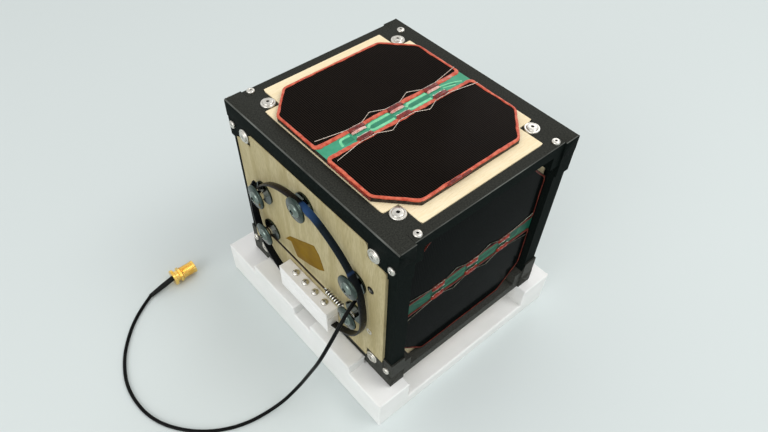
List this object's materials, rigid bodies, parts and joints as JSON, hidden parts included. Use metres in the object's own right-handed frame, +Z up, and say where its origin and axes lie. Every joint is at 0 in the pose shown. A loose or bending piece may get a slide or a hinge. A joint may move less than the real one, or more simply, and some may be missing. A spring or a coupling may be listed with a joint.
{
  "type": "cube satellite on display plinth",
  "caption": "Small cube satellite with wooden panels in a black metal frame, solar boards, a wound tape antenna and an aerial lead, standing on a white plinth.",
  "frame": {"origin": "middle of the plinth's underside, on the surface it stands on", "axes": "+X along the satellite's rails, -Y out of the antenna face, +Z up"},
  "size_m": [0.1463, 0.208, 0.1235],
  "materials": {
    "anodised_frame": "black anodised, satin",
    "pale_wood": "bare, sanded",
    "antenna_wood": "bare, sanded, vertical grain",
    "circuit_board": "green solder mask",
    "solar_cell": "coverglass over near-black cells",
    "silicone": "orange-red silicone sealant",
    "stainless_screw": "plain stainless steel",
    "polished_steel": "turned and polished",
    "tape_spring": "dark blued strip",
    "white_nylon": "milled, white",
    "plinth_plastic": "white, matt",
    "nylon_line": "dark line",
    "spring_wire": "drawn wire",
    "amber_film": "clear amber adhesive film",
    "gold_plate": "gold-plated",
    "white_insulator": "white fluoropolymer",
    "black_jacket": "black cable jacket",
    "black_sleeve": "heat-shrunk sleeve"
  },
  "bodies": {
    "root": {"adhesive_film": "amber_film", "aerial_lead": "black_jacket", "board_back": "circuit_board", "board_bottom": "circuit_board", "board_left": "circuit_board", "board_right": "circuit_board", "board_top": "circuit_board", "cable_gland": "black_jacket", "cells_back": "solar_cell", "cells_bottom": "solar_cell", "cells_left": "solar_cell", "cells_right": "solar_cell", "cells_top": "solar_cell", "connector_body": "gold_plate", "connector_insulator": "white_insulator", "connector_pin": "gold_plate", "corner_screws": "stainless_screw", "electronics": "circuit_board", "end_frame_left": "anodised_frame", "end_frame_right": "anodised_frame", "panel_back": "pale_wood", "panel_bottom": "pale_wood", "panel_front": "antenna_wood", "panel_inserts": "stainless_screw", "panel_left": "pale_wood", "panel_right": "pale_wood", "panel_top": "pale_wood", "pillar_bases": "polished_steel", "pillar_heads": "polished_steel", "pillar_posts": "polished_steel", "plinth": "plinth_plastic", "rail_back_lower": "anodised_frame", "rail_back_upper": "anodised_frame", "rail_front_lower": "anodised_frame", "rail_front_upper": "anodised_frame", "restraint_line": "nylon_line", "restraint_spring": "spring_wire", "root_block": "white_nylon", "root_block_cap": "white_nylon", "sealant_back": "silicone", "sealant_bottom": "silicone", "sealant_left": "silicone", "sealant_right": "silicone", "sealant_top": "silicone", "strain_relief": "black_sleeve", "tape_left": "tape_spring", "tape_right": "tape_spring"}
  },
  "joints": []
}
